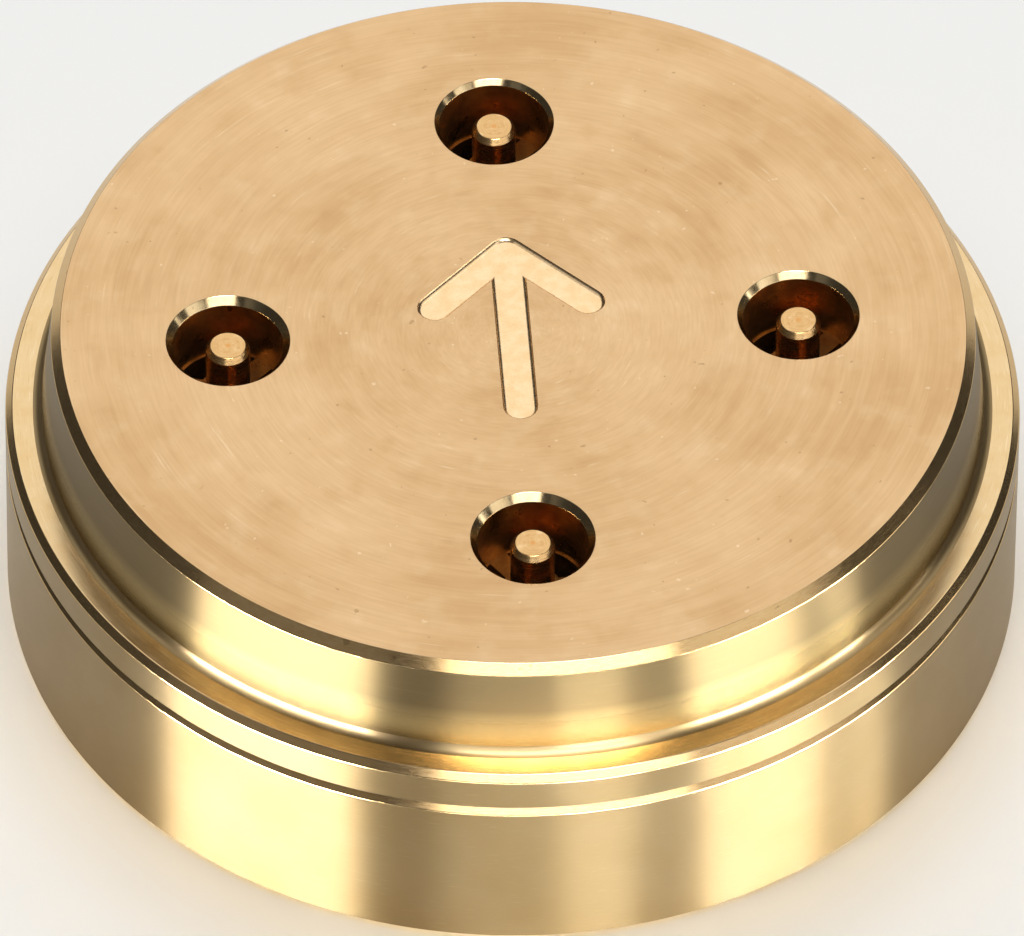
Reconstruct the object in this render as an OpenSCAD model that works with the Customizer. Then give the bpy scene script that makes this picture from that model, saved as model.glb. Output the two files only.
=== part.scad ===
// Two-part bronze die for extruding thick pasta tubes.
// A stepped plate carries the outlets. The carrier behind it holds one core pin in the middle of each
// outlet, on a three-armed spider that lets the dough past.
// The die stands on its inlet face. +Z is the way the pasta leaves, and the origin is the centre of
// that face. All sizes are in millimetres.

/* [Plate] */
// Diameter over the flange, shared by the plate and the carrier
flange_d = 57; // [55.5:0.5:64]
// Diameter of the boss at its upper edge, just below the chamfer
boss_d = 51.8; // [49:0.2:52.8]
// How much the boss wall leans out, from its upper edge to its foot, on the radius
boss_flare = 0.6; // [0:0.1:1]
// Height of the boss above the flange
boss_h = 6.1; // [5:0.1:8]
// Thickness of the flange, from its seat down to the rim at the joint
flange_t = 2.4; // [1.6:0.1:4]
// Thickness of the plate's front wall, which is also the depth of each outlet
face_t = 4.2; // [3:0.1:5.4]

/* [Edges] */
// Chamfer round the front face
face_chamfer = 0.55; // [0.2:0.05:1]
// Chamfer round the flange
flange_chamfer = 0.4; // [0.2:0.05:0.9]
// Fillet at the foot of the boss
step_fillet = 0.5; // [0.2:0.05:0.9]
// Chamfer on the carrier's upper edge, which opens the joint line
joint_chamfer = 0.55; // [0.2:0.05:1.2]
// Chamfer round the inlet face
back_chamfer = 0.4; // [0.2:0.05:1]
// Chamfer at each outlet's rim
outlet_chamfer = 0.35; // [0.1:0.05:0.6]

/* [Outlets] */
// Number of outlets
outlet_count = 4; // [2:1:8]
// Diameter of the circle that the outlets stand on
pitch_d = 32; // [24:0.5:33]
// Diameter of an outlet
outlet_d = 6.2; // [5.2:0.1:7.6]

/* [Core pins] */
// Diameter of a core pin
pin_d = 2.5; // [1.9:0.1:3.2]
// Distance from the front face down to the pin's tip
pin_set_back = 0.4; // [0:0.1:1.5]
// Width of the bevel round the tip, on the radius
tip_bevel_w = 0.26; // [0.05:0.01:0.4]
// Height of that bevel
tip_bevel_h = 0.34; // [0.1:0.02:0.8]
// Diameter of the shank that is pressed into the spider
shank_d = 1.6; // [1:0.1:1.8]
// Bevel on the shank's end
shank_bevel = 0.15; // [0.05:0.05:0.3]

/* [Spider] */
// Number of arms that carry each pin
arm_count = 3; // [2:1:5]
// Width of an arm
arm_w = 1.2; // [0.8:0.1:1.8]
// Thickness of the arms and the hub
arm_t = 3; // [2:0.1:4]
// Diameter of the hub under the pin
hub_d = 3.4; // [3.3:0.1:4.2]
// Ledge left between the slots and the wall of the outlet
slot_ledge = 0.1; // [0.05:0.05:0.3]
// Diameter of the funnel that leads the dough to the slots
funnel_d = 9.4; // [8:0.1:10]
// Depth of that funnel
funnel_h = 3; // [2:0.1:4]

/* [Carrier] */
// Height of the carrier below the joint
carrier_h = 10.9; // [9.5:0.1:16]
// Gap left between the plate's rim and the carrier's shoulder
joint_gap = 0.1; // [0.05:0.01:0.3]
// Diameter of the recess in the plate that takes the carrier's spigot
recess_d = 46; // [42:0.5:48]
// Clearance round the spigot, on the radius
spigot_gap = 0.02; // [0.01:0.01:0.1]
// Clearance round a pressed shank, on the radius
press_gap = 0.01; // [0.01:0.01:0.05]
// Lead-in chamfer on the spigot and on the mouth of the recess
lead_in = 0.5; // [0.2:0.1:1]
// Diameter of the dough chamber
chamber_d = 44; // [43.5:0.5:50]
// Fillet round the chamber's floor
chamber_fillet = 0.8; // [0.3:0.1:1]
// Chamfer at the chamber's mouth
chamber_chamfer = 1; // [0.5:0.1:2]

/* [Hidden] */
// Turn of each spider about its own pin, in degrees
spider_turns = [44, 44, 44, 6];
// Overshoot that lets a cut pass cleanly through a face
cut = 1;
// Facets round a turned surface
round_fn = 180;

flange_r = flange_d / 2;
boss_r = boss_d / 2;
foot_r = boss_r + boss_flare;
outlet_r = outlet_d / 2;
recess_r = recess_d / 2;
spigot_r = recess_r - spigot_gap;
chamber_r = chamber_d / 2;
slot_r = outlet_r - slot_ledge;

// Levels above the inlet face
rim_z = carrier_h + joint_gap;
flange_z = rim_z + flange_t;
face_z = flange_z + boss_h;
seat_z = face_z - face_t;
arm_z = seat_z - arm_t;
chamber_z = arm_z - funnel_h;
tip_z = face_z - pin_set_back;

// The boss wall leans by this angle, and its fillet touches the wall and the flange this far from the foot
boss_lean = atan(boss_flare / (boss_h - face_chamfer));
fillet_reach = step_fillet / tan(45 + boss_lean / 2);

// Moves an outlet's feature from the axis to outlet i
module outlet_place(i) {
    rotate([0, 0, i * 360 / outlet_count])
        translate([pitch_d / 2, 0, 0])
            children();
}

// Half section of the plate, stepped in front and hollow behind
module plate_section() {
    polygon([
        [0, seat_z],
        [recess_r, seat_z],
        [recess_r, rim_z + lead_in],
        [recess_r + lead_in, rim_z],
        [flange_r, rim_z],
        [flange_r, flange_z - flange_chamfer],
        [flange_r - flange_chamfer, flange_z],
        [foot_r, flange_z],
        [boss_r, face_z - face_chamfer],
        [boss_r - face_chamfer, face_z],
        [0, face_z]
    ]);
    step_fillet_section();
}

// Fillet between the leaning boss wall and the flat of the flange
module step_fillet_section() {
    wall_touch = [foot_r - fillet_reach * sin(boss_lean), flange_z + fillet_reach * cos(boss_lean)];
    flat_touch = [foot_r + fillet_reach, flange_z];
    centre = [foot_r + fillet_reach, flange_z + step_fillet];
    difference() {
        polygon([
            [foot_r - step_fillet, flange_z - step_fillet],
            [flat_touch[0], flange_z - step_fillet],
            flat_touch,
            centre,
            wall_touch,
            [foot_r - step_fillet, wall_touch[1]]
        ]);
        translate(centre)
            circle(r = step_fillet, $fn = round_fn);
    }
}

// Straight outlet with a chamfered rim
module outlet_cut() {
    translate([0, 0, seat_z - cut])
        cylinder(r = outlet_r, h = face_t + 2 * cut, $fn = round_fn);
    translate([0, 0, face_z - outlet_chamfer])
        cylinder(r1 = outlet_r, r2 = outlet_r + outlet_chamfer + cut, h = outlet_chamfer + cut, $fn = round_fn);
}

// Front plate: boss, flange and outlets
module die_plate() {
    color("#dcb676")
        difference() {
            rotate_extrude($fn = round_fn)
                plate_section();
            for (i = [0:outlet_count - 1])
                outlet_place(i)
                    outlet_cut();
        }
}

// Half section of the carrier, with its spigot above and the dough chamber below
module carrier_section() {
    difference() {
        polygon([
            [0, 0],
            [flange_r - back_chamfer, 0],
            [flange_r, back_chamfer],
            [flange_r, carrier_h - joint_chamfer],
            [flange_r - joint_chamfer, carrier_h],
            [spigot_r, carrier_h],
            [spigot_r, seat_z - lead_in],
            [spigot_r - lead_in, seat_z],
            [0, seat_z]
        ]);
        chamber_section();
    }
}

// Half section of the dough chamber, rounded at its floor and flared at its mouth
module chamber_section() {
    polygon([
        [0, -cut],
        [chamber_r + chamber_chamfer + cut, -cut],
        [chamber_r, chamber_chamfer],
        [chamber_r, chamber_z - chamber_fillet],
        [chamber_r - chamber_fillet, chamber_z - chamber_fillet],
        [chamber_r - chamber_fillet, chamber_z],
        [0, chamber_z]
    ]);
    translate([chamber_r - chamber_fillet, chamber_z - chamber_fillet])
        circle(r = chamber_fillet, $fn = round_fn);
}

// Slots between the arms of one spider
module spider_slots() {
    slot_h = arm_t + 2 * cut;
    translate([0, 0, arm_z - cut])
        difference() {
            cylinder(r = slot_r, h = slot_h, $fn = round_fn);
            translate([0, 0, -cut])
                cylinder(d = hub_d, h = slot_h + 2 * cut, $fn = round_fn);
            for (k = [0:arm_count - 1])
                rotate([0, 0, k * 360 / arm_count])
                    translate([0, -arm_w / 2, -cut])
                        cube([outlet_d, arm_w, slot_h + 2 * cut]);
        }
}

// Funnel, slots and pin seat of one outlet
module spider_cut(turn) {
    funnel_slope = (funnel_d / 2 - slot_r) / funnel_h;
    translate([0, 0, chamber_z - cut])
        cylinder(r1 = funnel_d / 2 + cut * funnel_slope, r2 = slot_r, h = funnel_h + cut, $fn = round_fn);
    rotate([0, 0, turn])
        spider_slots();
    translate([0, 0, arm_z - cut])
        cylinder(r = shank_d / 2 + press_gap, h = arm_t + 2 * cut, $fn = round_fn);
}

// Rear half: spigot, dough chamber and the spiders that hold the pins
module pin_carrier() {
    color("#c9a35c")
        difference() {
            rotate_extrude($fn = round_fn)
                carrier_section();
            for (i = [0:outlet_count - 1])
                outlet_place(i)
                    spider_cut(spider_turns[i % len(spider_turns)]);
        }
}

// Turned pin: shank in the spider's hub, shoulder on its face, bevelled tip in the outlet
module core_pin(i) {
    pin_r = pin_d / 2;
    shank_r = shank_d / 2;
    color("#e3bf8d")
        outlet_place(i)
            rotate_extrude($fn = round_fn)
                polygon([
                    [0, arm_z],
                    [shank_r - shank_bevel, arm_z],
                    [shank_r, arm_z + shank_bevel],
                    [shank_r, seat_z],
                    [pin_r, seat_z],
                    [pin_r, tip_z - tip_bevel_h],
                    [pin_r - tip_bevel_w, tip_z],
                    [0, tip_z]
                ]);
}

die_plate();
pin_carrier();
for (i = [0:outlet_count - 1])
    core_pin(i);
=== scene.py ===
# %% [markdown]
# # A pasta die in turned bronze
# The die has two turned halves. The front plate carries four outlets, and the carrier behind it holds a core
# pin in the middle of each, so that the dough leaves as a tube. Almost every surface is lathe work, so this
# lesson sweeps half sections round an axis and spends its effort on edges and finish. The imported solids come
# first, because they fix every size and place.

# %% Load the solids
import math

import bpy
import numpy as np
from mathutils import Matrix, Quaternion, Vector
from mathutils.geometry import delaunay_2d_cdt


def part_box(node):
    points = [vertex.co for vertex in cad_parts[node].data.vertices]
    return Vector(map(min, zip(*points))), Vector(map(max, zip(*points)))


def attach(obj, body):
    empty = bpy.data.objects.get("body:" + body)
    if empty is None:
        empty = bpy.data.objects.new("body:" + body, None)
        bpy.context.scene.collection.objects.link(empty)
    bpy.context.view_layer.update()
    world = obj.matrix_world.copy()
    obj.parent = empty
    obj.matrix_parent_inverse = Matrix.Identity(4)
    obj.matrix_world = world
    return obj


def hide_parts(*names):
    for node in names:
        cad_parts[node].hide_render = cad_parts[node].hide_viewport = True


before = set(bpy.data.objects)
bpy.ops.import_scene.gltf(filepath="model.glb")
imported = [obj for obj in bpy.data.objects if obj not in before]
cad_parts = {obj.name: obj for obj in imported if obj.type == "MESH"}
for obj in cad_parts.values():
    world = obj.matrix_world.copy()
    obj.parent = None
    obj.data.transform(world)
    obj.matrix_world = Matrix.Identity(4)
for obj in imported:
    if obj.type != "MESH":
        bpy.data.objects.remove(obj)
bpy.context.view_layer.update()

print("nodes:", ", ".join(sorted(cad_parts)))

# %% [markdown]
# ## Sizes
# A die is drawn in millimetres, so this script works in millimetres too and turns to metres only when a mesh
# is filled. The overall sizes are measured on the solids. The edges and steps between them are typed once,
# here, and everything below refers to these names.

# %% Sizes in millimetres
MM = 0.001


def node_box(node):
    """Lowest and highest corner of a solid, in millimetres."""
    return (np.array(corner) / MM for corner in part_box(node))


plate_low, plate_high = node_box("die_plate")
_, carrier_high = node_box("pin_carrier")
flange_r = plate_high[0]
face_z = plate_high[2]
rim_z = plate_low[2]
seat_z = carrier_high[2]

boss_r = 25.9
foot_r = 26.5
flange_z = 13.4
face_chamfer = 0.55
flange_chamfer = 0.4
step_fillet = 0.5
print(f"flange {2 * flange_r:.1f} across, face {face_z:.1f} high")
print(f"joint {rim_z:.1f} high, floor of the wells {seat_z:.1f} high")

# %% [markdown]
# ## Camera
# Small turned parts are photographed with a long lens from more than a metre away, so that the near and far
# edges keep almost the same scale. The camera could be shifted to frame the die, but a shift follows it into
# every other view. So it simply aims at the point of the axis that falls in the middle of the picture.

# %% Camera at the photograph's angle
IMAGE_W = 1024
SENSOR_W = 36.0
pixels_per_mm = 17.871
stand_off = 1200.0
elevation = math.radians(46.83)
turn_of_die = math.radians(4.3)
roll = math.radians(0.56)
aim_z = 7.95


def toward(azimuth, lift):
    """Unit vector toward an azimuth right of the camera's own, lifted above the floor."""
    heading = azimuth - turn_of_die
    level = math.cos(lift)
    return Vector((math.sin(heading) * level, -math.cos(heading) * level, math.sin(lift)))


camera = bpy.data.objects.new("camera", bpy.data.cameras.new("camera"))
bpy.context.scene.collection.objects.link(camera)
bpy.context.scene.camera = camera
camera.data.sensor_fit = "HORIZONTAL"
camera.data.sensor_width = SENSOR_W
camera.data.lens = pixels_per_mm * stand_off / IMAGE_W * SENSOR_W
camera.data.clip_end = 10
camera.location = (Vector((0, 0, face_z)) + toward(0, elevation) * stand_off) * MM
sight = Vector((0, 0, aim_z)) * MM - camera.location
camera.rotation_mode = "QUATERNION"
camera.rotation_quaternion = sight.to_track_quat("-Z", "Y") @ Quaternion((0, 0, 1), roll)
print(f"lens {camera.data.lens:.0f} mm, {stand_off:.0f} mm from the face")

# %% [markdown]
# ## A half section with eased edges
# No turned edge is truly sharp: a file or the tool's nose leaves it a few hundredths of a millimetre round,
# and that thin round catches the light as a bright line. A Bevel modifier could do it, but here each corner
# of the half section gives way to an arc. The arc's exact normals go with it, so wide flats stay flat.

# %% Eased half section
# Steps along each arc, and the share of it at which one finish gives way to the next
ARC_STEPS = 6
MIDDLE = 0.5


def eased(corners, radii):
    """Points and normals of a walk through the corners, with each inner corner eased to an arc of its radius.

    An arc starts and ends radius * tan(half the turn) from its corner, so it touches both sides. Its normal
    turns evenly from one side's to the other's. The air lies to the left of the walk.
    """
    corners = np.asarray(corners, float)
    radii = np.asarray(radii, float)[:, None]
    step = np.diff(corners, axis=0)
    along = step / np.linalg.norm(step, axis=1, keepdims=True)
    heading = np.unwrap(np.arctan2(along[:, 1], along[:, 0]))
    turn = np.diff(heading)[:, None]
    angle = heading[:-1, None] + math.pi / 2 + turn * np.linspace(0, 1, ARC_STEPS + 1)
    normals = np.stack([np.cos(angle), np.sin(angle)], -1)
    bulge = (-np.sign(turn) * radii)[:, :, None]
    arc_start = corners[1:-1] - along[:-1] * radii * np.tan(np.abs(turn) / 2)
    arcs = arc_start[:, None] + bulge * (normals - normals[:, :1])
    ends = np.stack([-along[[0, -1], 1], along[[0, -1], 0]], -1)
    points = np.concatenate([corners[:1], arcs.reshape(-1, 2), corners[-1:]])
    return points, np.concatenate([ends[:1], normals.reshape(-1, 2), ends[1:]])


def stretch(section, first, last):
    """Part of an eased walk.

    Each end is a corner's number and a share of its arc, such as MIDDLE, or None for the walk's own end.
    """

    def index(corner, share):
        return 1 + corner * (ARC_STEPS + 1) + round(share * ARC_STEPS)

    part = slice(first and index(*first), last and index(*last) + 1)
    return section[0][part], section[1][part]


print("an eased corner has", len(eased([(0, 0), (1, 0), (1, -1)], [0.1])[0]) - 2, "points")

# %% [markdown]
# ## Patches
# A piece is put together from patches: swept sections, flats with holes in them, and the walls of slots. Each
# patch is arrays of points, normals and faces, and points that coincide are merged when the piece is made, so
# the mesh is closed. Blender's Boolean could cut the holes, but its cuts leave ragged shading round them.

# %% Swept sections


def grid_faces(rows, columns):
    """Four-cornered faces between neighbouring rows and columns of a grid of points."""
    row, column = np.indices((rows - 1, columns - 1))
    corner = row * columns + column
    return np.stack([corner, corner + columns, corner + columns + 1, corner + 1], -1).reshape(-1, 4)


def full_turn(count):
    """Angles of one full turn, with the last on the first."""
    return np.linspace(0, 2 * math.pi, count + 1)


def swept(section, angles, axis=(0, 0)):
    """Half section swept round a vertical axis: (r, z) goes to (r cos a, r sin a, z), normals likewise."""

    def sweep(values):
        r, z = values[:, :1], values[:, 1:]
        return np.stack([r * np.cos(angles), r * np.sin(angles), z + 0 * angles], -1).reshape(-1, 3)

    points, normals = section
    return sweep(points) + (*axis, 0), sweep(normals), grid_faces(len(points), len(angles))


def swept_cuts(section, cuts, angles, axis=(0, 0)):
    """Patches of one swept section. Each cut has its finish and the two ends of its stretch."""
    return [(finish, swept(stretch(section, first, last), angles, axis)) for finish, first, last in cuts]


def circle(radius, angles, axis=(0, 0)):
    """Closed outline of a circle, without its repeated last point."""
    return radius * np.stack([np.cos(angles[:-1]), np.sin(angles[:-1])], -1) + axis


TURN = full_turn(512)
WELL_TURN = full_turn(128)
print(len(TURN) - 1, "points round the axis,", len(WELL_TURN) - 1, "round a well")

# %% Flats with holes
# Points this near to each other, in millimetres, are one
CLOSE = 1e-7


def inside(points, outline):
    """Whether each point lies inside a closed outline.

    A ray to the right of such a point crosses the outline an odd number of times.
    """
    x, y = points[:, :1], points[:, 1:]
    ax, ay = outline.T
    bx, by = np.roll(outline, -1, axis=0).T
    straddles = (ay > y) != (by > y)
    rise = np.where(by == ay, 1.0, by - ay)
    return (straddles & (x < ax + (bx - ax) * (y - ay) / rise)).sum(1) % 2 == 1


def flat(outer, holes, z, up=True):
    """Level face at height z, inside the outer outline and outside the holes, filled with triangles."""
    outlines = [outer, *holes]
    points = np.concatenate(outlines)
    first = np.cumsum([0] + [len(outline) for outline in outlines])
    index = [np.arange(a, b) for a, b in zip(first[:-1], first[1:])]
    edges = np.concatenate([np.stack([i, np.roll(i, -1)], 1) for i in index])
    filled = delaunay_2d_cdt([Vector(p) for p in points], edges.tolist(), [], 0, CLOSE)
    source = np.array([ids[0] for ids in filled[3]])
    triangles = source[np.array(filled[2])]
    middle = points[triangles].mean(1)
    kept = inside(middle, outer) & ~np.any([inside(middle, hole) for hole in holes], axis=0)
    triangles = triangles[kept]
    a, b, c = np.moveaxis(points[triangles], 1, 0)
    turns_left = (b - a)[:, 0] * (c - a)[:, 1] > (b - a)[:, 1] * (c - a)[:, 0]
    triangles = np.where((turns_left == up)[:, None], triangles, triangles[:, ::-1])
    normals = np.tile([0, 0, 1 if up else -1], (len(points), 1))
    places = np.column_stack([points, np.full(len(points), z)])
    return places, normals, np.column_stack([triangles, triangles[:, -1]])


def slot_wall(outline, low, high):
    """Upright wall that faces into a slot, one face for each side of its outline."""
    to = np.roll(outline, -1, axis=0)
    side = to - outline
    inward = np.stack([-side[:, 1], side[:, 0]], -1) / np.linalg.norm(side, axis=1, keepdims=True)
    plan = np.stack([outline, outline, to, to], 1)
    height = np.broadcast_to([low, high, high, low], plan.shape[:2])
    points = np.dstack([plan, height]).reshape(-1, 3)
    normals = np.repeat(np.column_stack([inward, 0 * inward[:, 0]]), 4, axis=0)
    return points, normals, np.arange(len(points)).reshape(-1, 4)


# %% Patches to a piece
# Points that agree to so many digits of a millimetre are merged
MERGED_DIGITS = 5


def make_piece(name, patches):
    """Mesh object of (finish, patch) pairs.

    Points that coincide are merged, and each patch keeps its own normals.
    """
    finishes = sorted({finish for finish, _ in patches})
    count = np.cumsum([0] + [len(patch[0]) for _, patch in patches])
    points = np.concatenate([patch[0] for _, patch in patches])
    normals = np.concatenate([patch[1] for _, patch in patches])
    faces = np.concatenate([patch[2] + first for (_, patch), first in zip(patches, count)])
    finish = np.concatenate([np.full(len(patch[2]), finishes.index(key)) for key, patch in patches])

    merged, merged_of = np.unique(np.round(points, MERGED_DIGITS), axis=0, return_inverse=True)
    corners = merged_of.reshape(-1)[faces]
    used = corners != np.roll(corners, 1, axis=1)
    used[used.sum(1) < 3] = False
    whole = used.any(1)
    sides = used.sum(1)[whole]
    first_loop = np.cumsum(sides) - sides

    mesh = bpy.data.meshes.new(name)
    mesh.vertices.add(len(merged))
    mesh.vertices.foreach_set("co", (merged * MM).ravel())
    mesh.loops.add(sides.sum())
    mesh.loops.foreach_set("vertex_index", corners[used])
    mesh.polygons.add(len(sides))
    mesh.polygons.foreach_set("loop_start", first_loop)
    mesh.polygons.foreach_set("material_index", finish[whole])
    mesh.polygons.foreach_set("use_smooth", np.ones(len(sides), bool))
    mesh.update(calc_edges=True)
    mesh.normals_split_custom_set(normals[faces[used]])
    for key in finishes:
        mesh.materials.append(bpy.data.materials.get(key) or bpy.data.materials.new(key))
    piece = bpy.data.objects.new(name, mesh)
    bpy.context.scene.collection.objects.link(piece)

    edge = np.empty(len(mesh.loops), int)
    mesh.loops.foreach_get("edge_index", edge)
    loose = (np.bincount(edge) != 2).sum()
    print(f"{name}: {len(mesh.polygons)} faces, {loose} edges that don't join two faces")
    return piece


# %% [markdown]
# ## Wells
# Each outlet is drilled and reamed straight through the front wall, and its rim is broken by hand with a
# deburring tool, so no two rims are quite alike. The section is walked from the bottom of the bore up to the
# face. The solids have one even chamfer; here each well has its own depth of it.

# %% Wells of the plate
outlet_r = 3.1
rim_w = {"core_pin_1": 0.325, "core_pin_2": 0.27, "core_pin_3": 0.38, "core_pin_4": 0.375}
rim_slope = 1.19
rim_land = 0.15
rim_ease = 0.08
pin_boxes = {name: tuple(node_box(name)) for name in sorted(rim_w)}
wells = {name: (low + high)[:2] / 2 for name, (low, high) in pin_boxes.items()}


def well_patches(name):
    """Bore, hand-broken rim and a narrow land on the face, swept round the well's own axis."""
    rim_r = outlet_r + rim_w[name]
    corners = [
        (outlet_r, seat_z),
        (outlet_r, face_z - rim_slope * rim_w[name]),
        (rim_r, face_z),
        (rim_r + rim_land, face_z),
    ]
    section = eased(corners, [rim_ease, rim_ease])
    bore_top = (0, MIDDLE)
    face_edge = (1, MIDDLE)
    cuts = [
        ("bronze_reamed", None, bore_top),
        ("bronze_deburred", bore_top, face_edge),
        ("bronze_faced", face_edge, None),
    ]
    return swept_cuts(section, cuts, WELL_TURN, wells[name])


print("wells at", {name: axis.round(2).tolist() for name, axis in wells.items()})

# %% [markdown]
# ## Engraved arrow
# A cutter with a rounded nose has drawn a mark in the middle of the face. The groove could be a bump, but its
# sides show, so it is real. The mark is a star of straight strokes from one joint. Across a stroke the groove
# has a flat floor and sides of the nose's radius, and each ring of the grid is a step from the middle of the
# strokes to their outline.

# %% Groove of the arrow
joint = np.array([0.0, 6.0])
stroke_ends = np.array([[-4.3, 1.8], [0.0, -6.0], [4.3, 1.8]])
nose_r = 0.34
floor_half_w = 0.68
groove_half_w = 0.98
held_steps = 5
run_steps = 24
round_steps = 15
side_steps = 9


def stroke_loop(k):
    """Right side, round end and left side of stroke k, then the arc round the joint before a wide gap.

    For each point there is a foot on the stroke's middle line, the direction across, and the outline point
    beside it. Near a narrow gap the outline waits at the corner that two strokes share.
    """
    reach = stroke_ends - joint
    length = np.linalg.norm(reach, axis=1)
    bearing = np.arctan2(reach[:, 1], reach[:, 0])
    gap = (np.roll(bearing, -1) - bearing) % (2 * math.pi)
    held = np.where(gap < math.pi, groove_half_w / np.tan(gap / 2), 0)
    split = max(held[k - 1], held[k])
    run = np.concatenate([np.linspace(0, split, held_steps), np.linspace(split, length[k], run_steps)[1:]])
    half = np.linspace(-math.pi / 2, math.pi / 2, round_steps)[1:-1]
    end = np.full(len(half), length[k])
    wide = np.linspace(0, gap[k] - math.pi, round_steps)[1:-1] if gap[k] > math.pi else np.zeros(0)

    along = np.concatenate([run, end, run[::-1], 0 * wide])
    waits = np.concatenate([np.maximum(run, held[k - 1]), end, np.maximum(run, held[k])[::-1], 0 * wide])
    turn = np.concatenate([0 * run - math.pi / 2, half, 0 * run + math.pi / 2, math.pi / 2 + wide])
    ahead = np.array([math.cos(bearing[k]), math.sin(bearing[k])])
    across = np.stack([np.cos(bearing[k] + turn), np.sin(bearing[k] + turn)], -1)
    foot = joint + along[:, None] * ahead
    return foot, across, joint + waits[:, None] * ahead + groove_half_w * across


def arrow_groove():
    """Groove patch and its outline.

    From the middle line out to floor_half_w the groove is flat. Beyond that, at a distance d, its height over
    the floor is nose_r - sqrt(nose_r**2 - (d - floor_half_w)**2), the rise of the cutter's nose.
    """
    foot, across, outline = map(np.concatenate, zip(*map(stroke_loop, range(len(stroke_ends)))))
    closed = np.append(np.arange(len(foot)), 0)
    side = np.linspace(0, groove_half_w - floor_half_w, side_steps)[:, None]
    past_floor = np.concatenate([side[:1], side])
    share = np.concatenate([[[0]], (floor_half_w + side) / groove_half_w])
    drop = np.sqrt(nose_r**2 - past_floor**2)
    depth = drop - drop[-1]
    plan = foot[closed] + share[:, :, None] * (outline - foot)[closed]
    points = np.dstack([plan, np.broadcast_to(face_z - depth, plan.shape[:2])])
    lean = -across[closed] * past_floor[:, :, None] / nose_r
    normals = np.dstack([lean, np.broadcast_to(drop / nose_r, plan.shape[:2])])
    fresh = np.linalg.norm(outline - np.roll(outline, 1, axis=0), axis=1) > CLOSE
    patch = points.reshape(-1, 3), normals.reshape(-1, 3), grid_faces(*plan.shape[:2])
    return patch, outline[fresh]


groove, groove_outline = arrow_groove()
print(f"groove {face_z - groove[0][:, 2].min():.2f} deep, outline of {len(groove_outline)} points")

# %% [markdown]
# ## Front plate
# The plate is faced and turned in one setting. Its section runs from the face, over the chamfer and down the
# leaning wall of the boss, through a small fillet to the flange, round the rim and up into the recess behind.
# The flats in front and behind are filled between the section and the holes. A finish ends in the middle of
# an eased edge, where the eye expects it, and the fillet has one finish from end to end.

# %% Section of the plate
recess_r = 23.0
lead_in = 0.5
land = 0.3
face_ease = 0.06
wall_ease = 0.14
flat_ease = 0.12
flange_ease = 0.2
joint_ease = 0.06
hidden_ease = 0.03
plate_section = eased(
    [
        (boss_r - face_chamfer - land, face_z),
        (boss_r - face_chamfer, face_z),
        (boss_r, face_z - face_chamfer),
        (foot_r, flange_z),
        (flange_r - flange_chamfer, flange_z),
        (flange_r, flange_z - flange_chamfer),
        (flange_r, rim_z),
        (recess_r + lead_in, rim_z),
        (recess_r, rim_z + lead_in),
        (recess_r, seat_z),
        (recess_r - land, seat_z),
    ],
    [face_ease, wall_ease, step_fillet, flat_ease, flange_ease, joint_ease] + 3 * [hidden_ease],
)
plate_cuts = [
    ("bronze_faced", None, (0, MIDDLE)),
    ("bronze_chamfered", (0, MIDDLE), (1, MIDDLE)),
    ("bronze_fine_turned", (1, MIDDLE), (2, 0)),
    ("bronze_turned", (2, 0), (2, 1)),
    ("bronze_rubbed", (2, 1), (3, MIDDLE)),
    ("bronze_chamfered", (3, MIDDLE), (4, MIDDLE)),
    ("bronze_turned", (4, MIDDLE), None),
]
print("section of the plate:", len(plate_section[0]), "points in", len(plate_cuts), "cuts")

# %% Plate
rims = [circle(outlet_r + rim_w[name] + rim_land, WELL_TURN, axis) for name, axis in wells.items()]
bores = [circle(outlet_r, WELL_TURN, axis) for axis in wells.values()]
plate = make_piece(
    "turned_plate",
    [
        *swept_cuts(plate_section, plate_cuts, TURN),
        ("bronze_faced", flat(circle(boss_r - face_chamfer - land, TURN), [*rims, groove_outline], face_z)),
        ("bronze_faced", flat(circle(recess_r - land, TURN), bores, seat_z, up=False)),
        ("bronze_milled", groove),
        *[patch for name in wells for patch in well_patches(name)],
    ],
)

# %% [markdown]
# ## Pin carrier
# The carrier fills the plate's recess with a spigot. Behind, the dough chamber is bored out, and four funnels
# lead from it to the spiders: three arms round a hub, with kidney-shaped slots between them. The slots were
# milled, so they are upright walls between the flat above and the flat below.

# %% Spider outlines
slot_r = 3.0
hub_r = 1.7
arm_w = 1.2
arm_count = 3
seat_r = 0.81
spider_turns = {"core_pin_1": 44, "core_pin_2": 44, "core_pin_3": 44, "core_pin_4": 6}
arm_z = pin_boxes["core_pin_1"][0][2]
outer_steps = 24
hub_steps = 16
arm_steps = 9


def spider(name):
    """Kidney outlines between the arms, and the angles round the slots' outer wall that they share."""
    rim_half = math.asin(arm_w / 2 / slot_r)
    hub_half = math.asin(arm_w / 2 / hub_r)
    pitch = 2 * math.pi / arm_count
    kidneys, angles = [], []
    for k in range(arm_count):
        arm = math.radians(spider_turns[name]) + k * pitch
        outside = np.linspace(arm + rim_half, arm + pitch - rim_half, outer_steps)
        hubside = np.linspace(arm + pitch - hub_half, arm + hub_half, hub_steps)
        past_arm = np.linspace(outside[-1], outside[-1] + 2 * rim_half, arm_steps)[1:-1]
        radius = np.concatenate([0 * outside + slot_r, 0 * hubside + hub_r])
        angle = np.concatenate([outside, hubside])
        plan = radius[:, None] * np.stack([np.cos(angle), np.sin(angle)], -1)
        kidneys.append(plan + wells[name])
        angles.append(np.concatenate([outside, past_arm]))
    angles = np.concatenate(angles)
    return kidneys, np.append(angles, angles[0] + 2 * math.pi)


spiders = {name: spider(name) for name in wells}
print("arms of each spider at", spider_turns)

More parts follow.
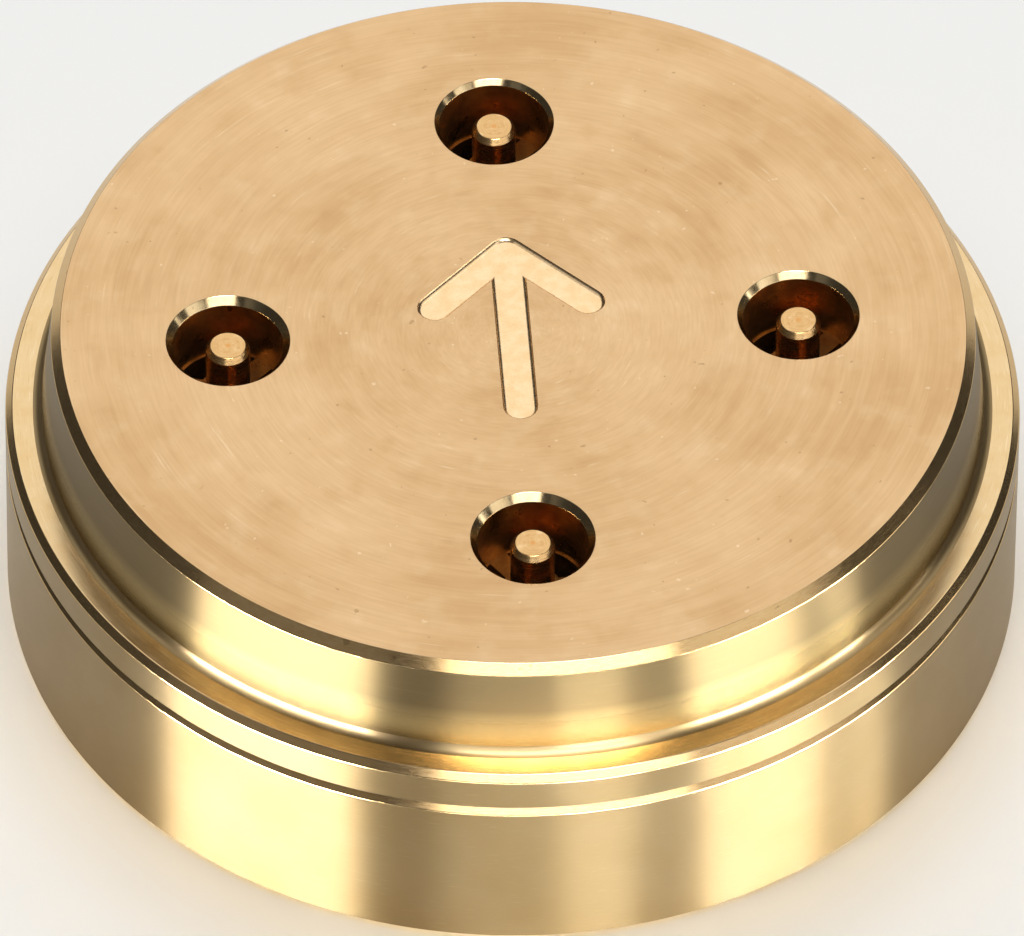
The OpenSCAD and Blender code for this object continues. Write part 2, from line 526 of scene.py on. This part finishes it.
# %% Section of the carrier
shoulder_z = 10.9
spigot_r = 22.98
chamber_r = 22.0
chamber_z = 9.3
chamber_fillet = 0.8
chamber_chamfer = 1.0
joint_chamfer = 0.55
back_chamfer = 0.4
shoulder_ease = 0.05
flank_ease = 0.18
foot_ease = 0.06
inlet_ease = 0.05
carrier_section = eased(
    [
        (spigot_r - lead_in - land, seat_z),
        (spigot_r - lead_in, seat_z),
        (spigot_r, seat_z - lead_in),
        (spigot_r, shoulder_z),
        (flange_r - joint_chamfer, shoulder_z),
        (flange_r, shoulder_z - joint_chamfer),
        (flange_r, back_chamfer),
        (flange_r - back_chamfer, 0),
        (chamber_r + chamber_chamfer, 0),
        (chamber_r, chamber_chamfer),
        (chamber_r, chamber_z),
        (chamber_r - chamber_fillet - land, chamber_z),
    ],
    3 * [hidden_ease] + [shoulder_ease, flank_ease, foot_ease] + 3 * [inlet_ease] + [chamber_fillet],
)
carrier_cuts = [
    ("bronze_turned", None, (3, MIDDLE)),
    ("bronze_chamfered", (3, MIDDLE), (4, MIDDLE)),
    ("bronze_turned", (4, MIDDLE), None),
]
print("section of the carrier:", len(carrier_section[0]), "points in", len(carrier_cuts), "cuts")

# %% Carrier
funnel_r = 4.7
SEAT_TURN = full_turn(48)


def spider_patches(name):
    """Funnel, underside of the arms, pin seat and slot walls of one outlet. Their sections are straight."""
    kidneys, angles = spiders[name]
    axis = wells[name]
    funnel = eased([(funnel_r, chamber_z), (slot_r, arm_z)], [])
    seat = eased([(seat_r, arm_z), (seat_r, seat_z)], [])
    patches = [
        swept(funnel, angles, axis),
        flat(circle(slot_r, angles, axis), [*kidneys, circle(seat_r, SEAT_TURN, axis)], arm_z, up=False),
        swept(seat, SEAT_TURN, axis),
        *[slot_wall(kidney, arm_z, seat_z) for kidney in kidneys],
    ]
    return [("bronze_reamed", patch) for patch in patches]


slots = [kidney for kidneys, _ in spiders.values() for kidney in kidneys]
seats = [circle(seat_r, SEAT_TURN, axis) for axis in wells.values()]
mouths = [circle(funnel_r, spiders[name][1], wells[name]) for name in wells]
carrier = make_piece(
    "turned_carrier",
    [
        *swept_cuts(carrier_section, carrier_cuts, TURN),
        ("bronze_reamed", flat(circle(spigot_r - lead_in - land, TURN), [*slots, *seats], seat_z)),
        ("bronze_faced", flat(circle(chamber_r - chamber_fillet - land, TURN), mouths, chamber_z, up=False)),
        *[patch for name in wells for patch in spider_patches(name)],
    ],
)

# %% [markdown]
# ## Core pins
# Each pin is a small turning of its own, pressed into its spider from the front. Its shoulder sits on the
# hub, and a bevel round its tip lets the dough close round it. One section makes the whole pin, from the
# middle of the tip to the middle of the shank's end.

# %% Pins
tip_bevel_w = 0.26
tip_bevel_h = 0.34
tip_ease = 0.1
shank_r = 0.8
shank_bevel = 0.15
pin_shoulder_ease = 0.02
pins = {}
for name, (low, high) in pin_boxes.items():
    pin_r = (high - low)[0] / 2
    tip_z = high[2]
    section = eased(
        [
            (0, tip_z),
            (pin_r - tip_bevel_w, tip_z),
            (pin_r, tip_z - tip_bevel_h),
            (pin_r, seat_z),
            (shank_r, seat_z),
            (shank_r, arm_z + shank_bevel),
            (shank_r - shank_bevel, arm_z),
            (0, arm_z),
        ],
        2 * [tip_ease] + 2 * [pin_shoulder_ease] + 2 * [hidden_ease],
    )
    pins[name] = make_piece("turned_" + name, [("bronze_parted", swept(section, WELL_TURN, wells[name]))])

# %% [markdown]
# ## Finishes
# The whole die is one alloy, a golden bronze, so its looks differ mostly in how each surface was cut. The
# walls of the flank and the boss are painted darker than the face, as painted shade, and the boss is painted
# paler toward its foot, as a painted highlight. A lathe leaves fine rings, so every pattern here is worked out
# from a point's place on the half section, not from its place in space. An image could carry such rings, but
# noise drawn out along the cut has no seam.

# %% Colours and nodes


def linear(code):
    """sRGB hex colour as linear RGBA."""
    value = np.array([int(code[i:i + 2], 16) for i in (1, 3, 5)]) / 255
    curve = np.where(value <= 0.04045, value / 12.92, ((value + 0.055) / 1.055) ** 2.4)
    return (*curve.tolist(), 1.0)


def add(tree, kind, inputs, out=0, **settings):
    """Adds a node, sets its properties, fills its inputs with values or links, and returns an output."""
    node = tree.nodes.new("ShaderNode" + kind)
    for name, value in settings.items():
        setattr(node, name, value)
    for name, value in inputs.items():
        if isinstance(value, bpy.types.NodeSocket):
            tree.links.new(value, node.inputs[name])
        else:
            node.inputs[name].default_value = value
    return node.outputs[out]


print("bronze is about", np.round(linear("#dab381")[:3], 2), "in linear colour")

# %% [markdown]
# ### Where the tool went
# On a lathe the work turns and the tool creeps along it, so a point is best named by its direction from the
# axis and by how far the tool had crept. Radius less height grows along every face and every wall of the half
# section, so one number serves them all. The wells were cut about axes of their own. They lie on X and Y, so
# the absolute values of x and y fold all four onto one.

# %% Places on the half section
pitch_r = float(wells["core_pin_1"][0])


def lathe_place(tree, place):
    """A point's direction from the axis, and its place along the half section, in millimetres."""
    level = add(tree, "VectorMath", {0: place, 1: (1 / MM, 1 / MM, 0)}, operation="MULTIPLY")
    radius = add(tree, "VectorMath", {0: level}, out="Value", operation="LENGTH")
    height = add(tree, "SeparateXYZ", {0: place}, out="Z")
    along = add(tree, "Math", {0: height, 1: -1 / MM, 2: radius}, operation="MULTIPLY_ADD")
    return add(tree, "VectorMath", {0: level}, operation="NORMALIZE"), along


def well_place(tree, place):
    """A point's place as seen from the axis of the nearest well, with all four wells folded onto one."""
    folded = add(tree, "VectorMath", {0: place}, operation="ABSOLUTE")
    x, y, z = add(tree, "SeparateXYZ", {0: folded}).node.outputs
    outward = add(tree, "Math", {0: x, 1: y}, operation="MAXIMUM")
    aside = add(tree, "Math", {0: x, 1: y}, operation="MINIMUM")
    outward = add(tree, "Math", {0: outward, 1: pitch_r * MM}, operation="SUBTRACT")
    return add(tree, "CombineXYZ", {"X": outward, "Y": aside, "Z": z})


print(f"the wells stand {pitch_r:.1f} from the axis")

# %% [markdown]
# ### Marks, tints and bare metal
# A cut leaves streaks: short across the cut, long along it. Wear, rubs and stains are tints laid over the
# bronze's own colour. Every finish then ends the same way, in one shader with metallic at 1, where a pattern
# moves the roughness and stands a few thousandths of a millimetre high. Spots with no direction are plain
# noise, with a scale of one over their size.

# %% Marks, tints and bare metal
QUARTER_TURN = 0.25


def marks(tree, lathe, spacing, arcs, detail=2.0):
    """Noise drawn out along the cut: spacing across it in millimetres, and arcs of 1/arcs radian along it."""
    around, along = lathe
    step = add(tree, "Math", {0: along, 1: spacing}, operation="DIVIDE")
    across = add(tree, "CombineXYZ", {"Z": step})
    place = add(tree, "VectorMath", {0: around, 1: (arcs, arcs, 0), 2: across}, operation="MULTIPLY_ADD")
    return add(tree, "TexNoise", {"Vector": place, "Scale": 1.0, "Detail": detail})


def tinted(tree, code, tints):
    """Colour with tints laid over it.

    A tint has a pattern, the values at which it begins and is full, the most that it covers, and a colour.
    """
    colour = linear(code)
    for pattern, begins, full, most, tint in tints:
        share = add(tree, "MapRange", {"Value": pattern, 1: begins, 2: full, 4: most})
        colour = add(tree, "Mix", {0: share, 6: colour, 7: linear(tint)}, out=2, data_type="RGBA")
    return colour


def bare_metal(tree, colour, roughness, height, depth, drawn_out=0.0):
    """Joins a colour, a roughness and a height of so many millimetres to the shader.

    The roughness has a pattern, two of its values, and the roughness at each. A turned wall draws its shine
    out across the rings: the tangent runs round the axis, so a quarter turn points it up the wall.
    """
    pattern, low, high, at_low, at_high = roughness
    rough = add(tree, "MapRange", {"Value": pattern, 1: low, 2: high, 3: at_low, 4: at_high})
    bump = add(tree, "Bump", {"Height": height, "Distance": depth * MM})
    shader = tree.nodes["Principled BSDF"]
    shader.inputs["Metallic"].default_value = 1
    tree.links.new(colour, shader.inputs["Base Color"])
    tree.links.new(rough, shader.inputs["Roughness"])
    tree.links.new(bump, shader.inputs["Normal"])
    if drawn_out:
        tangent = add(tree, "Tangent", {}, direction_type="RADIAL", axis="Z")
        shader.inputs["Anisotropic"].default_value = drawn_out
        shader.inputs["Anisotropic Rotation"].default_value = QUARTER_TURN
        tree.links.new(tangent, shader.inputs["Tangent"])
    print(len(tree.nodes), "nodes")


def finish_tree(name):
    """Node tree of a finish that the pieces already carry, and a point's place in the die."""
    material = bpy.data.materials[name]
    material.use_nodes = True
    print(name, end=": ")
    return material.node_tree, add(material.node_tree, "TexCoord", {}, out="Object")


finishes = sorted(material.name for material in bpy.data.materials if material.name.startswith("bronze"))
print("finishes to make:", ", ".join(finishes))

# %% [markdown]
# ### Faced front
# The front was faced and then rubbed on fine abrasive. That leaves it satin: soft, even and a little peachy,
# with the facing cut's arcs still showing through. The real rings are a few hundredths of a millimetre apart,
# too fine to show, so they are drawn at 0.13 mm.

# %% Faced bronze
tree, place = finish_tree("bronze_faced")
lathe = lathe_place(tree, place)
rings = marks(tree, lathe, 0.13, 7.0)
arcs = marks(tree, lathe, 0.9, 2.5)
rubs = marks(tree, lathe, 0.22, 4.0, 3.0)
cloud = add(tree, "TexNoise", {"Vector": place, "Scale": 1 / (8 * MM), "Detail": 4.0})
mottle = add(tree, "TexNoise", {"Vector": place, "Scale": 1 / (2.2 * MM), "Detail": 3.0})
dings = add(tree, "TexNoise", {"Vector": place, "Scale": 1 / (0.45 * MM), "Detail": 1.0})
colour = tinted(tree, "#caa475", [
    (cloud, 0.36, 0.64, 0.75, "#dfbc8f"),
    (arcs, 0.36, 0.64, 0.4, "#dfbc8f"),
    (mottle, 0.55, 0.75, 0.25, "#ecd0a6"),
    (mottle, 0.42, 0.28, 0.2, "#b98f5c"),
    (rings, 0.35, 0.65, 0.14, "#b9905e"),
    (rubs, 0.68, 0.76, 0.25, "#fbe6c2"),
    (dings, 0.765, 0.80, 0.4, "#8f6a3c"),
    (dings, 0.235, 0.20, 0.3, "#fbe6c2"),
])
bare_metal(tree, colour, (rings, 0.3, 0.7, 0.37, 0.45), rings, 0.002)

# %% [markdown]
# ### Turned flank
# The flank of both halves was turned with a fine feed, and so was the fillet at the foot of the boss. The
# rings act as a grating that throws the light up and down, so each lamp becomes an upright band. In Blender
# that is anisotropy: full strength, about a tangent that circles the axis. The rings are drawn at 0.07 mm,
# about twice the real feed. The colour is painted darker than the face's bronze: painted shade for the dark
# stretches between the bands.

# %% Turned bronze
tree, place = finish_tree("bronze_turned")
lathe = lathe_place(tree, place)
rings = marks(tree, lathe, 0.07, 24.0)
cloud = add(tree, "TexNoise", {"Vector": place, "Scale": 1 / (5 * MM)})
# Base colour darker than the face's bronze: painted shade for the dark stretches of the wall
colour = tinted(tree, "#97815b", [
    (cloud, 0.35, 0.65, 1.0, "#9c8763"),
    (rings, 0.6, 0.75, 0.25, "#b39d74"),
])
bare_metal(tree, colour, (rings, 0.3, 0.7, 0.285, 0.31), rings, 0.0014, drawn_out=1.0)

# %% [markdown]
# ### Fine-turned boss
# The boss is the diameter that the ring nut centres on, so it was turned finer than the flank. Its colour is
# painted darker than the face's, as painted shade. Toward its foot, burnishing by the nut's lip sharpens the
# shine, and there the colour is painted paler, as a painted highlight. Height alone can steer that, so the
# change is a ramp in z. The feed is drawn at 0.13 mm, coarser than it is.

# %% Fine-turned bronze
burnish_and_highlight_top = flange_z + 3.0
burnish_and_highlight_foot = flange_z + 0.2
tree, place = finish_tree("bronze_fine_turned")
rings = marks(tree, lathe_place(tree, place), 0.13, 5.0)
height = add(tree, "SeparateXYZ", {0: place}, out="Z")
# Ramp toward the foot: burnishing that sharpens the shine, and a painted highlight that pales the colour
burnish_and_highlight = add(tree, "MapRange", {"Value": height, 1: burnish_and_highlight_top * MM, 2: burnish_and_highlight_foot * MM})
# Base colour darker than the face's bronze: painted shade
colour = tinted(tree, "#796849", [
    (burnish_and_highlight, 0, 1, 1.0, "#c4aa74"),
    (rings, 0.6, 0.75, 0.2, "#96835c"),
])
bare_metal(tree, colour, (burnish_and_highlight, 0, 1, 0.32, 0.16), rings, 0.002, drawn_out=1.0)

# %% [markdown]
# ### Rubbed seat
# The ring nut bears on the flat of the flange and turns as it tightens. That has rubbed the cut to a satin
# much like the face's, with short scratches that follow the nut round. Near the boss the flat mirrors its
# wall, so it goes dark where the wall is dark and white where the wall is lit.

# %% Rubbed bronze
tree, place = finish_tree("bronze_rubbed")
scratches = marks(tree, lathe_place(tree, place), 0.1, 18.0, 3.0)
smears = add(tree, "TexNoise", {"Vector": place, "Scale": 1 / (1.5 * MM)})
colour = tinted(tree, "#d8bc8e", [
    (smears, 0.4, 0.7, 0.5, "#d2ae78"),
    (scratches, 0.58, 0.75, 0.35, "#f2dfba"),
    (scratches, 0.4, 0.25, 0.3, "#b8935c"),
])
bare_metal(tree, colour, (scratches, 0.3, 0.7, 0.19, 0.25), scratches, 0.001)

# %% [markdown]
# ### Chamfered edges
# The chamfers were cut with the side of the tool, which leaves them clean and bright, and they have taken a
# few small knocks since. The light on them has ragged ends because the tool chattered, so the height here
# runs along the edge in short steps.

# %% Chamfered bronze
tree, place = finish_tree("bronze_chamfered")
chatter = marks(tree, lathe_place(tree, place), 0.1, 60.0)
knocks = add(tree, "TexNoise", {"Vector": place, "Scale": 1 / (0.6 * MM)})
colour = tinted(tree, "#d4b07a", [
    (chatter, 0.4, 0.7, 0.5, "#dcbf90"),
    (knocks, 0.68, 0.74, 0.4, "#8a6b3c"),
])
bare_metal(tree, colour, (chatter, 0.3, 0.7, 0.14, 0.18), chatter, 0.0006)

# %% [markdown]
# ### Deburred rims
# A hand tool swung round each well has broken its rim. The cut is bright and pale, and it wanders a little,
# so the light on it ends in steps.

# %% Deburred bronze
tree, place = finish_tree("bronze_deburred")
chatter = marks(tree, lathe_place(tree, well_place(tree, place)), 0.12, 5.0)
flecks = add(tree, "TexNoise", {"Vector": place, "Scale": 1 / (0.3 * MM)})
colour = tinted(tree, "#cbb083", [
    (chatter, 0.4, 0.7, 0.5, "#dcc69c"),
    (flecks, 0.66, 0.74, 0.5, "#8d7040"),
])
bare_metal(tree, colour, (flecks, 0.3, 0.7, 0.12, 0.18), chatter, 0.003)

# %% [markdown]
# ### Milled groove
# The cutter left the groove bright, with the small ripples of its teeth. They are about 0.05 mm apart on such
# work and are drawn at 0.12 mm.

# %% Milled bronze
tree, place = finish_tree("bronze_milled")
ripples = add(tree, "TexNoise", {"Vector": place, "Scale": 1 / (0.12 * MM), "Detail": 1.0})
smears = add(tree, "TexNoise", {"Vector": place, "Scale": 1 / (0.8 * MM)})
colour = tinted(tree, "#e6c392", [
    (smears, 0.35, 0.65, 0.7, "#f2d3a8"),
    (ripples, 0.62, 0.75, 0.3, "#c39a62"),
])
bare_metal(tree, colour, (ripples, 0.3, 0.7, 0.2, 0.28), ripples, 0.0008)

# %% [markdown]
# ### Reamed bores
# The wells, the slots and the funnels were drilled and reamed. They are smooth, with rings down the wall, and
# a thin brown film of old dough darkens them in patches. Deep inside, the light has bounced from bronze to
# bronze several times and turns red by itself.

# %% Reamed bronze
tree, place = finish_tree("bronze_reamed")
rings = marks(tree, lathe_place(tree, well_place(tree, place)), 0.16, 3.0)
film = add(tree, "TexNoise", {"Vector": place, "Scale": 1 / (1.2 * MM), "Detail": 3.0})
colour = tinted(tree, "#b48850", [
    (rings, 0.4, 0.7, 0.4, "#c0955c"),
    (film, 0.42, 0.7, 0.7, "#764620"),
])
bare_metal(tree, colour, (film, 0.35, 0.65, 0.26, 0.38), rings, 0.002)

# %% [markdown]
# ### Parted pins
# The pins were turned from rod and parted off, so their tips show rings about a small spot in the middle,
# where the tool broke through. The rings are drawn at 0.09 mm, coarser than they are.

# %% Parted bronze
spot_r = 0.2
tree, place = finish_tree("bronze_parted")
local = well_place(tree, place)
rings = marks(tree, lathe_place(tree, local), 0.09, 1.5)
level = add(tree, "VectorMath", {0: local, 1: (1 / MM, 1 / MM, 0)}, operation="MULTIPLY")
radius = add(tree, "VectorMath", {0: level}, out="Value", operation="LENGTH")
stain = add(tree, "TexNoise", {"Vector": place, "Scale": 1 / (0.5 * MM)})
colour = tinted(tree, "#d2aa74", [
    (rings, 0.45, 0.65, 0.5, "#c2955c"),
    (stain, 0.55, 0.75, 0.4, "#f0d3a4"),
    (radius, spot_r, 0.6 * spot_r, 0.55, "#d08e48"),
])
bare_metal(tree, colour, (rings, 0.3, 0.7, 0.2, 0.3), rings, 0.002)

# %% [markdown]
# ## Floor
# The die was photographed on a white sweep. A plane of white paper stands in for it, wide enough to run out
# of every view.

# %% Floor
FLOOR_REACH = 6.0
corner_signs = np.array([(-1, -1, 0), (1, -1, 0), (1, 1, 0), (-1, 1, 0)])
floor = bpy.data.objects.new("floor", bpy.data.meshes.new("floor"))
floor.data.from_pydata((FLOOR_REACH * corner_signs).tolist(), [], [(0, 1, 2, 3)])
bpy.context.scene.collection.objects.link(floor)
paper = bpy.data.materials.new("matt_paper")
paper.use_nodes = True
paper_shader = paper.node_tree.nodes["Principled BSDF"]
paper_shader.inputs["Base Color"].default_value = linear("#f2f2f0")
paper_shader.inputs["Roughness"].default_value = 0.9
paper_shader.inputs["Specular IOR Level"].default_value = 0.1
floor.data.materials.append(paper)
print("floor reaches", FLOOR_REACH, "m each way")

# %% [markdown]
# ## Light
# Metal shows the studio more than its own colour. The bands on the flank are strips that stand round the
# front of the die, lower than its face, so that the face never mirrors them, not even seen from behind. The
# white chamfers are a soft box higher up, and the even tone of the face is a wide box behind. Two dim boxes
# at the sides keep the face from going dark when it is seen from there. Strips so close would burn out the
# paper, so they light only the die, and the paper has a lamp of its own.

# %% A soft box
# Point inside the die that every light faces, in metres
AIM = Vector((0, 0, 0.01))
die_only = bpy.data.collections.new("die_only")
for piece in (plate, carrier, *pins.values()):
    die_only.objects.link(piece)
floor_only = bpy.data.collections.new("floor_only")
floor_only.objects.link(floor)


def soft_box(name, azimuth, lift, distance, width, height, radiance, lit):
    """Rectangular light that faces the middle of the die. It lights one collection, or everything.

    A flat lamp's power is pi times its area times its radiance.
    """
    data = bpy.data.lights.new(name, "AREA")
    data.shape = "RECTANGLE"
    data.size = width
    data.size_y = height
    data.energy = radiance * math.pi * width * height
    light = bpy.data.objects.new(name, data)
    bpy.context.scene.collection.objects.link(light)
    out = toward(math.radians(azimuth), math.radians(lift))
    light.location = AIM + out * distance
    light.rotation_mode = "QUATERNION"
    light.rotation_quaternion = out.to_track_quat("Z", "Y")
    light.visible_camera = False
    light.light_linking.receiver_collection = lit


print(f"lights aim {AIM.z / MM:.0f} mm above the floor")

# %% Lights
# Azimuth right of the camera and lift in degrees, distance, width and height in metres, radiance, what is lit
soft_boxes = [
    ("floor_lamp", 180, 89, 3.0, 4.0, 4.0, 1.9, floor_only),
    ("back_soft_box", 180, 42, 1.2, 1.15, 1.5, 1.25, None),
    ("front_soft_box", 12, 40, 1.6, 1.2, 0.56, 3.2, die_only),
    ("top_strip", 12, 62, 1.6, 0.73, 0.34, 28.0, die_only),
    ("right_fill", 105, 56, 1.2, 0.90, 0.45, 1.2, die_only),
    ("left_fill", -105, 56, 1.2, 0.90, 0.45, 0.7, die_only),
    ("right_card", 58, 36, 1.2, 0.55, 0.23, 0.98, die_only),
    ("left_card", -52, 36, 1.2, 0.80, 0.30, 0.15, die_only),
    ("right_panel", 53.5, 17.5, 1.0, 0.75, 0.40, 1.5, die_only),
    ("right_panel_far", 86, 8.5, 1.0, 0.43, 0.20, 3.0, die_only),
    ("right_strip_edge", 71.2, 0, 0.3, 0.037, 0.017, 160, die_only),
    ("right_strip_dim", 63.9, 0, 0.3, 0.039, 0.017, 84, die_only),
    ("right_strip", 48.1, 0, 0.3, 0.125, 0.017, 260, die_only),
    ("centre_strip", 12.0, 0, 0.3, 0.270, 0.017, 34, die_only),
    ("middle_strip", 16.5, 0, 0.3, 0.070, 0.017, 85, die_only),
    ("left_strip", -47.3, 0, 0.3, 0.211, 0.017, 310, die_only),
]
for values in soft_boxes:
    soft_box(*values)

world = bpy.data.worlds.new("studio")
bpy.context.scene.world = world
world.use_nodes = True
world.node_tree.nodes["Background"].inputs["Color"].default_value = (1, 1, 1, 1)
world.node_tree.nodes["Background"].inputs["Strength"].default_value = 0.05
bpy.context.scene.view_settings.view_transform = "Standard"
print(len(soft_boxes), "lights")

# %% [markdown]
# ## Hand over
# Every piece rides on the one rigid body and stands for the solid it was built from.

# %% Ride and stand in
for piece, node, slot in [
    (plate, "die_plate", "plate_bronze"),
    (carrier, "pin_carrier", "carrier_bronze"),
    *[(pin, name, "pin_bronze") for name, pin in pins.items()],
]:
    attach(piece, "root")
    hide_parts(node)
